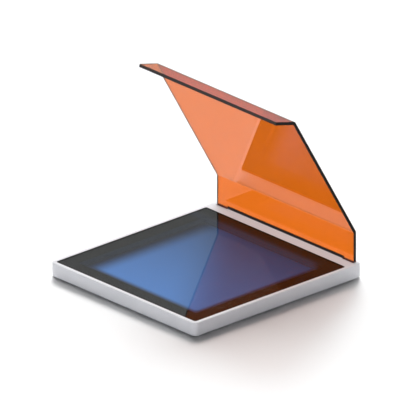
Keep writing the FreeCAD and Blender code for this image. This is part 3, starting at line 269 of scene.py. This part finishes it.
def fade(tree, value, dark, full, least=0.0):
    """A soft step: the least value at one place along an axis, 1 at the other."""
    step = add(tree, "ShaderNodeMapRange", {"Value": value, "From Min": dark, "From Max": full,
                                            "To Min": least}, interpolation_type="SMOOTHSTEP")
    return step.outputs["Result"]


def multiplied(tree, factors):
    """The product of a row of values."""
    product = factors[0]
    for factor in factors[1:]:
        product = add(tree, "ShaderNodeMath", {0: product, 1: factor}, operation="MULTIPLY").outputs[0]
    return product


blue_panel, tree = new_material("blue_acrylic_lit")
spot = add(tree, "ShaderNodeTexCoord").outputs["Object"]
axes = add(tree, "ShaderNodeSeparateXYZ", {"Vector": spot})
run = add(tree, "ShaderNodeMapRange", {"Value": axes.outputs["Y"], "From Min": REAR_SHADE_FROM,
                                       "From Max": REAR_SHADE_FROM + REAR_SHADE_RUN}, clamp=False)
squared = add(tree, "ShaderNodeMath", {0: run.outputs["Result"], 1: 2.0}, operation="POWER")
rear_shade_linear = add(tree, "ShaderNodeMath", {0: run.outputs["Result"], 1: -REAR_SHADE_EVEN, 2: 1.0},
           operation="MULTIPLY_ADD")
rear_shade_level = add(tree, "ShaderNodeMath", {0: squared.outputs[0], 1: -REAR_SHADE_SQUARED, 2: rear_shade_linear.outputs[0]},
            operation="MULTIPLY_ADD", use_clamp=True)
slanted = add(tree, "ShaderNodeMath", {0: axes.outputs["Y"], 1: SHADE_SLANT, 2: axes.outputs["X"]},
              operation="MULTIPLY_ADD")
level = multiplied(tree, [
    # painted shade towards the back, then towards the left end, then the fades at the right and front edges
    rear_shade_level.outputs[0],
    fade(tree, axes.outputs["X"], LEFT_DARK, LEFT_FULL),
    fade(tree, axes.outputs["X"], RIGHT_DARK, RIGHT_FULL),
    fade(tree, axes.outputs["Y"], FRONT_DARK, FRONT_FULL),
    # the painted shadow of the amber cover
    fade(tree, slanted.outputs[0], SHADE_END, SHADE_START, SHADE_LEVEL),
])
glow = add(tree, "ShaderNodeMix", {"Factor": level, "A": (0, 0, 0, 1), "B": linear(GLOW)},
           data_type="RGBA")
sheet = add(tree, "ShaderNodeBsdfPrincipled", {
    "Base Color": linear("0A1A38"), "Roughness": 0.35, "IOR": ACRYLIC_IOR,
    "Emission Color": glow.outputs["Result"], "Emission Strength": 1.0,
})
add(tree, "ShaderNodeOutputMaterial", {"Surface": sheet.outputs["BSDF"]})
dress(blue_panel, "blue_filter_sheet")

# %% [markdown]
# Black round the panel
#
# The chamber frame is moulded in matt black, and the frame round the light is printed in black and bonded to
# the underside of the glass. Both are matt black with painted light beside the panel: a faint blue glow
# stands for the panel's light on the walls of the recess and a few millimetres into the rear of the print. It
# gets weaker with the distance from the panel and towards the left end.

# %% Matt black with painted blue light on it
# Colour of the painted light on the black.
PAINTED_SPILL_COLOUR = "222E45"
PAINTED_SPILL_LEFT_LEVEL = 0.4
PAINTED_SPILL_LEFT_FULL = panel_low.x + 47 * MM
PAINTED_SPILL_RIGHT_FULL = panel_high.x - 23 * MM
PAINTED_SPILL_RIGHT_DARK = panel_high.x - 7 * MM
# The painted light climbs the walls of the recess from the panel and is gone at this height.
PAINTED_SPILL_TOP = panel_high.z + 23 * MM
# On the print it is full just in front of the window's rear edge, and gone before and behind that.
WINDOW_REAR = panel_high.y - 4 * MM
PRINT_FULL = WINDOW_REAR - 2 * MM
PRINT_DARK_FRONT = WINDOW_REAR - 12 * MM
PRINT_DARK_REAR = WINDOW_REAR + 11 * MM


def black_with_painted_light(name, axis, places):
    """Matt black with painted light, a blue emission that stands for the panel's light, along one axis: each
    pair is a dark and a full place.
    """
    material, tree = new_material(name)
    spot = add(tree, "ShaderNodeTexCoord").outputs["Object"]
    axes = add(tree, "ShaderNodeSeparateXYZ", {"Vector": spot})
    across_fades = [
        fade(tree, axes.outputs["X"], panel_low.x, PAINTED_SPILL_LEFT_FULL, PAINTED_SPILL_LEFT_LEVEL),
        fade(tree, axes.outputs["X"], PAINTED_SPILL_RIGHT_DARK, PAINTED_SPILL_RIGHT_FULL),
    ]
    amount = multiplied(tree, across_fades + [fade(tree, axes.outputs[axis], *pair) for pair in places])
    spill_glow = add(tree, "ShaderNodeMix", {"Factor": amount, "A": (0, 0, 0, 1), "B": linear(PAINTED_SPILL_COLOUR)},
                  data_type="RGBA")
    surface = add(tree, "ShaderNodeBsdfPrincipled", {
        "Base Color": linear("070708"), "Roughness": 0.8, "IOR": 1.45,
        "Emission Color": spill_glow.outputs["Result"], "Emission Strength": 1.0,
    })
    add(tree, "ShaderNodeOutputMaterial", {"Surface": surface.outputs["BSDF"]})
    return material


# Painted light on the walls of the recess, and on the rear of the print.
frame_black = black_with_painted_light("matt_black_with_painted_light", "Z", [(PAINTED_SPILL_TOP, panel_high.z)])
dress(frame_black, "chamber_frame")
printed_black = black_with_painted_light("printed_black_with_painted_light", "Y", [(PRINT_DARK_REAR, PRINT_FULL),
                                                            (PRINT_DARK_FRONT, PRINT_FULL)])
dress(printed_black, "border_mask")

# %% [markdown]
# Sheets under the blue panel
#
# The diffuser and the reflector are thin white polyester films, and the guide plate between them is clear
# acrylic with a grid of printed dots that lets the light out. They are hidden by the blue sheet, but a
# reader who opens the model finds them finished as well. The white lead sockets on the driver board get the
# film's finish too, which is close to that of their nylon.

# %% White polyester film and dotted acrylic guide
white_film = satin_moulding("white_polyester_film", "F0F0EE", "EBEBEA",
                            roughness=0.6, ior=1.57, grain_strength=0.2)
dress(white_film, "diffuser_sheet", "reflector_sheet", "inlet_lead_socket", "led_lead_socket",
      "switch_lead_socket")

DOT_PITCH = 2 * MM
DOT_RADIUS = 0.45 * MM

dotted_guide, tree = new_material("dotted_acrylic_guide")
spot = add(tree, "ShaderNodeTexCoord").outputs["Object"]
cells = add(tree, "ShaderNodeTexVoronoi", {"Vector": spot, "Scale": 1 / DOT_PITCH, "Randomness": 0.0},
            voronoi_dimensions="2D")
dots = add(tree, "ShaderNodeMath", {0: cells.outputs["Distance"], 1: DOT_RADIUS / DOT_PITCH},
           operation="LESS_THAN")
colour = add(tree, "ShaderNodeMix", {"Factor": dots.outputs[0], "A": linear("DCE8EE"), "B": linear("FAFAFA")},
             data_type="RGBA")
guide = add(tree, "ShaderNodeBsdfPrincipled", {"Base Color": colour.outputs["Result"], "Roughness": 0.08,
                                               "IOR": ACRYLIC_IOR})
add(tree, "ShaderNodeOutputMaterial", {"Surface": guide.outputs["BSDF"]})
dress(dotted_guide, "light_guide_plate")

# %% [markdown]
# Steel, aluminium and plated contacts
#
# The hinge pin is drawn and ground steel rod, the screws are zinc plated, the heat bar is a sawn length of
# extruded aluminium and the contacts are nickel plated brass. All are metals, so their colour is the colour
# of their reflection. Fine lines along the rod and the bar come from drawing and extrusion; they are drawn
# as a noise that is stretched along the piece.

# %% Metals
LINE_STRETCH = 0.02
LINE_DETAIL = 3.0
# A line is this many times wider than deep, and the roughness varies between these two parts of its mean.
LINE_FLATNESS = 10
SHINIEST = 0.8
DULLEST = 1.3


def drawn_metal(name, swatch, roughness, line_width, line_strength):
    """A bare metal with fine lines that run left to right, as drawing and extruding leave them."""
    material, tree = new_material(name)
    spot = add(tree, "ShaderNodeTexCoord").outputs["Object"]
    stretched = add(tree, "ShaderNodeMapping", {"Vector": spot, "Scale": (LINE_STRETCH, 1.0, 1.0)})
    lines = add(tree, "ShaderNodeTexNoise", {"Vector": stretched.outputs["Vector"], "Scale": 1 / line_width,
                                             "Detail": LINE_DETAIL})
    shine = add(tree, "ShaderNodeMapRange", {"Value": lines.outputs["Fac"], "To Min": roughness * SHINIEST,
                                             "To Max": roughness * DULLEST})
    bump = add(tree, "ShaderNodeBump", {"Height": lines.outputs["Fac"], "Strength": line_strength,
                                        "Distance": line_width / LINE_FLATNESS})
    surface = add(tree, "ShaderNodeBsdfPrincipled", {
        "Base Color": linear(swatch), "Metallic": 1.0, "Roughness": shine.outputs["Result"],
        "Normal": bump.outputs["Normal"],
    })
    add(tree, "ShaderNodeOutputMaterial", {"Surface": surface.outputs["BSDF"]})
    return material


ground_steel = drawn_metal("ground_steel_rod", "C9C9CB",
                           roughness=0.22, line_width=0.3 * MM, line_strength=0.3)
dress(ground_steel, "hinge_pin")
zinc_steel = drawn_metal("zinc_plated_steel", "C4C6CA",
                         roughness=0.32, line_width=0.6 * MM, line_strength=0.2)
dress(zinc_steel, "cover_screws", "hinge_screws", "board_screws", "inlet_nut")
extruded_aluminium = drawn_metal("extruded_aluminium", "D2D3D5",
                                 roughness=0.36, line_width=0.5 * MM, line_strength=0.4)
dress(extruded_aluminium, "heat_bar", "driver_capacitor")
plated_brass = drawn_metal("nickel_plated_brass", "D9D2BE",
                           roughness=0.25, line_width=0.4 * MM, line_strength=0.2)
dress(plated_brass, "inlet_centre_pin", "inlet_lugs", "switch_blades")

# %% [markdown]
# Rubber feet and lead sleeves
#
# The feet are moulded nitrile rubber: very dark, rough, and with a faint sheen at flat angles. The leads
# have a soft PVC sleeve that is a little glossier. Both differ from the black mouldings mainly in how they
# spread the highlight.

# %% Rubber and soft PVC
foot_rubber = satin_moulding("nitrile_rubber", "1F1F1F", "1A1A1B",
                             roughness=0.75, ior=1.52, grain_strength=0.9)
dress(foot_rubber, "foot_front_left", "foot_front_right", "foot_rear_left", "foot_rear_right")
soft_pvc = satin_moulding("soft_pvc_sleeve", "1C1C1E", "18181A",
                          roughness=0.3, ior=1.54, grain_strength=0.2)
dress(soft_pvc, "inlet_lead", "switch_lead", "led_lead")

# %% [markdown]
# Boards and light sources
#
# The boards are glass-epoxy laminate under green solder mask; the weave of the glass cloth prints through
# as a fine crossing pattern. The light sources are white ceramic packages with a lens that glows blue.

# %% Solder mask and light-source packages
CLOTH_PITCH = 1.2 * MM
# A wave texture of scale 1 repeats after this length.
WAVE_LENGTH = 2 * math.pi / 20

solder_mask, tree = new_material("green_solder_mask")
spot = add(tree, "ShaderNodeTexCoord").outputs["Object"]
threads = {"Vector": spot, "Scale": WAVE_LENGTH / CLOTH_PITCH}
warp = add(tree, "ShaderNodeTexWave", threads, bands_direction="X")
weft = add(tree, "ShaderNodeTexWave", threads, bands_direction="Y")
cloth = add(tree, "ShaderNodeMath", {0: warp.outputs["Fac"], 1: weft.outputs["Fac"]}, operation="MULTIPLY")
colour = add(tree, "ShaderNodeMix", {"Factor": cloth.outputs[0], "A": linear("0E4A2A"),
                                     "B": linear("145A34")}, data_type="RGBA")
mask = add(tree, "ShaderNodeBsdfPrincipled", {"Base Color": colour.outputs["Result"], "Roughness": 0.3,
                                              "IOR": 1.55})
add(tree, "ShaderNodeOutputMaterial", {"Surface": mask.outputs["BSDF"]})
dress(solder_mask, "driver_board", "led_board")

LENS_FROM_EDGE = 0.6 * MM
led_low, led_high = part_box("leds")

source_package, tree = new_material("white_ceramic_package")
spot = add(tree, "ShaderNodeTexCoord").outputs["Object"]
axes = add(tree, "ShaderNodeSeparateXYZ", {"Vector": spot})
middle = (led_low.z + led_high.z) / 2
lens_reach = (led_high.z - led_low.z) / 2 - LENS_FROM_EDGE
off_middle = add(tree, "ShaderNodeMath", {0: axes.outputs["Z"], 1: middle}, operation="SUBTRACT")
off_middle = add(tree, "ShaderNodeMath", {0: off_middle.outputs[0]}, operation="ABSOLUTE")
lens = add(tree, "ShaderNodeMath", {0: off_middle.outputs[0], 1: lens_reach}, operation="LESS_THAN")
lit = add(tree, "ShaderNodeMix", {"Factor": lens.outputs[0], "A": (0, 0, 0, 1), "B": linear("3F86FF")},
          data_type="RGBA")
ceramic = add(tree, "ShaderNodeBsdfPrincipled", {
    "Base Color": linear("E9E7DC"), "Roughness": 0.4, "IOR": 1.5,
    "Emission Color": lit.outputs["Result"], "Emission Strength": 1.0,
})
add(tree, "ShaderNodeOutputMaterial", {"Surface": ceramic.outputs["BSDF"]})
dress(source_package, "leds")

# %% [markdown]
# Table, backdrop and light
#
# The object stands on a plain white table in a white room. The light comes from behind it and falls towards
# the camera: the deck is bright, the two near walls lie in soft shade, and the shadow falls to the front.
# The two low lamps light the table alone, as a studio does with a flag that keeps a lamp off the object,
# because they would burn out its rear walls. A higher and broader lamp from the same side lights the object,
# and two weak ones on the camera's side fill the near walls. Lamps don't show in the glass. The room is white
# where the camera looks, straight or through the sheets, and a softer grey where the glass mirrors it, as in
# a studio where only the backdrop is lit. The table keeps its shadows: only the lamps and the room light it.

# %% Table top
TABLE_HALF = 3.0
table_mesh = bpy.data.meshes.new("table_top")
shape = bmesh.new()
bmesh.ops.create_grid(shape, x_segments=1, y_segments=1, size=TABLE_HALF)
shape.to_mesh(table_mesh)
shape.free()
table = bpy.data.objects.new("table_top", table_mesh)
bpy.context.scene.collection.objects.link(table)

TABLE_SEEN = 0.90
TABLE_MIRRORED = 0.60

table_white, tree = new_material("matt_white_table")
rays = add(tree, "ShaderNodeLightPath")
mirrored = add(tree, "ShaderNodeMath", {0: rays.outputs["Is Glossy Ray"],
                                        1: rays.outputs["Is Reflection Ray"]}, operation="MULTIPLY")
tone = add(tree, "ShaderNodeMapRange", {"Value": mirrored.outputs[0], "To Min": TABLE_SEEN,
                                        "To Max": TABLE_MIRRORED})
paint = add(tree, "ShaderNodeBsdfDiffuse", {"Color": tone.outputs["Result"], "Roughness": 0.0})
add(tree, "ShaderNodeOutputMaterial", {"Surface": paint.outputs["BSDF"]})
table_mesh.materials.append(table_white)

# %% Lamps and room
# Each lamp: name, turn from the camera, rise and spread in degrees, strength, colour, what it lights.
LAMPS = (
    ("back_lamp", 180, 41, 18, 2.75, "FFFFFF", "table"),
    ("backdrop_glow", 180, 24, 80, 4.55, "FFFFFF", "table"),
    ("overhead_lamp", 180, 62, 50, 3.9, "FFFFFF", "object"),
    ("front_fill", 0, 3, 20, 1.28, "F6F9FF", "all"),
    ("left_fill", -80, 3, 20, 0.50, "F4F9FF", "all"),
)
# How white the room is: as a light on the object, and as a mirror image, which darkens from white to its
# level between the two rises of a ray.
ROOM_LEVEL = 0.045
MIRRORED_ROOM = 0.27
HORIZON_RISE = -0.04
MIRROR_RISE = 0.07


def lamp_direction(turn, rise):
    """Towards a lamp that stands so far round to the right of the camera and so high, both in radians."""
    level = towards_camera.copy()
    level.z = 0
    level.normalize()
    side = across * math.sin(turn) + level * math.cos(turn)
    return side * math.cos(rise) + Vector((0, 0, math.sin(rise)))


def flagged(name, link_state):
    """A group with the table in it, which a lamp either lights alone or leaves out."""
    group = bpy.data.collections.new(name)
    group.objects.link(table)
    group.collection_objects[0].light_linking.link_state = link_state
    return group


lit_groups = {
    "table": flagged("table_alone", "INCLUDE"),
    "object": flagged("all_but_table", "EXCLUDE"),
    "all": None,
}

for name, turn, rise, spread, strength, swatch, lit in LAMPS:
    lamp_data = bpy.data.lights.new(name, "SUN")
    lamp_data.energy = strength
    lamp_data.color = linear(swatch)[:3]
    lamp_data.angle = math.radians(spread)
    lamp = bpy.data.objects.new(name, lamp_data)
    lamp.visible_glossy = False
    lamp.visible_transmission = False
    lamp.light_linking.receiver_collection = lit_groups[lit]
    lamp_from = lamp_direction(math.radians(turn), math.radians(rise))
    lamp.rotation_euler = lamp_from.to_track_quat("Z", "Y").to_euler()
    bpy.context.scene.collection.objects.link(lamp)

room = bpy.data.worlds.new("white_room")
bpy.context.scene.world = room
room.use_nodes = True
tree = room.node_tree
tree.nodes.clear()
rays = add(tree, "ShaderNodeLightPath")
direction = add(tree, "ShaderNodeTexCoord").outputs["Generated"]
rise = add(tree, "ShaderNodeSeparateXYZ", {"Vector": direction}).outputs["Z"]
mirrored = add(tree, "ShaderNodeMapRange", {"Value": rise, "From Min": HORIZON_RISE, "From Max": MIRROR_RISE,
                                            "To Min": 1.0, "To Max": MIRRORED_ROOM},
               interpolation_type="LINEAR")
seen = add(tree, "ShaderNodeMix", {"Factor": rays.outputs["Is Camera Ray"], "A": mirrored.outputs["Result"],
                                   "B": 1.0})
level = add(tree, "ShaderNodeMix", {"Factor": rays.outputs["Is Diffuse Ray"], "A": seen.outputs["Result"],
                                    "B": ROOM_LEVEL})
light = add(tree, "ShaderNodeBackground", {"Color": (1, 1, 1, 1), "Strength": level.outputs["Result"]})
add(tree, "ShaderNodeOutputWorld", {"Surface": light.outputs["Background"]})
